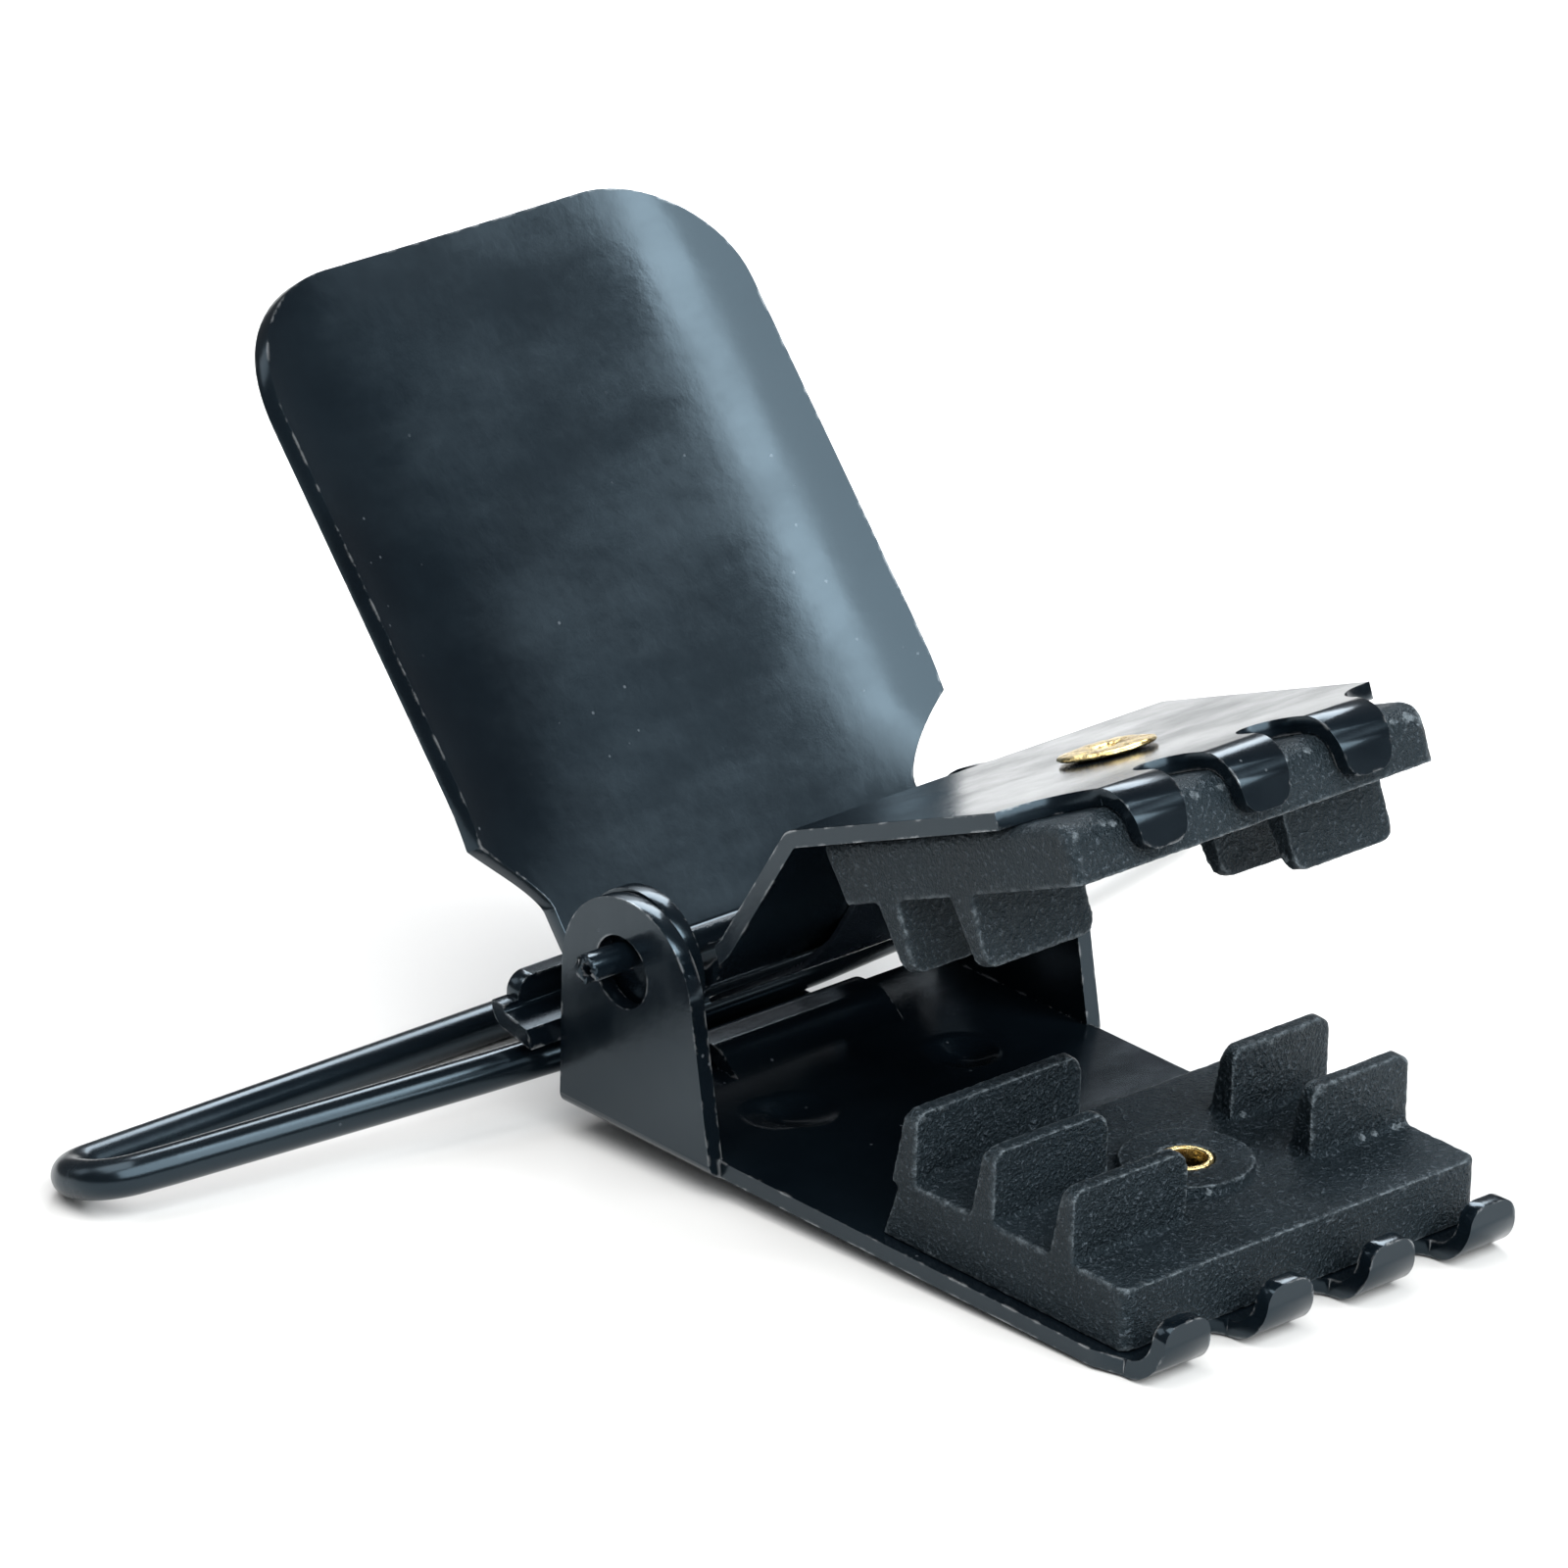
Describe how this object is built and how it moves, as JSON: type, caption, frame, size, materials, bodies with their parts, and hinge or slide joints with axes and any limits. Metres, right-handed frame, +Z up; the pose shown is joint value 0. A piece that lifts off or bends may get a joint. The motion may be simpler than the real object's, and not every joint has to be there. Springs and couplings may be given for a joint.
{
  "type": "spring clamp",
  "caption": "Sheet-steel spring clamp for webbing: two toothed jaws closed by a cam lever, with a hinged wire bail.",
  "frame": {"origin": "on the flat underside of the base plate, straight below the lever's pivot", "axes": "+X forward out of the mouth, +Y across the clip, +Z up from the base; the clip is at rest open"},
  "size_m": [0.0498, 0.055, 0.028],
  "materials": {
    "painted_steel": "satin blue-black paint, bright at worn edges",
    "painted_wire": "satin blue-black paint",
    "spring_steel": "smooth blued steel",
    "black_plastic": "moulded, finely grained",
    "brass": "rolled eyelet, slightly marked"
  },
  "bodies": {
    "base": {"base_plate": "painted_steel", "lower_insert": "black_plastic", "lower_eyelet": "brass"},
    "jaw": {"jaw_plate": "painted_steel", "upper_insert": "black_plastic", "upper_eyelet": "brass", "leaf_spring": "spring_steel"},
    "lever": {"lever": "painted_steel"},
    "bail": {"wire_bail": "painted_wire"}
  },
  "joints": [
    {"name": "lever_hinge", "type": "hinge", "parent": "base", "child": "lever", "pos_m": [0, 0, 0.0065], "axis": [0, 1, 0], "range_deg": [0, 131.1]},
    {"name": "jaw_hinge", "type": "hinge", "parent": "base", "child": "jaw", "pos_m": [-0.0041, 0, 0.00145], "axis": [0, 1, 0], "range_deg": [0, 22.5]},
    {"name": "bail_hinge", "type": "hinge", "parent": "base", "child": "bail", "pos_m": [-0.0041, 0, 0.00145], "axis": [0, 1, 0], "range_deg": [-58, 29]}
  ],
  "couplings": [
    {"joint": "jaw_hinge", "follows": "lever_hinge", "ratio": 0.1716}
  ]
}
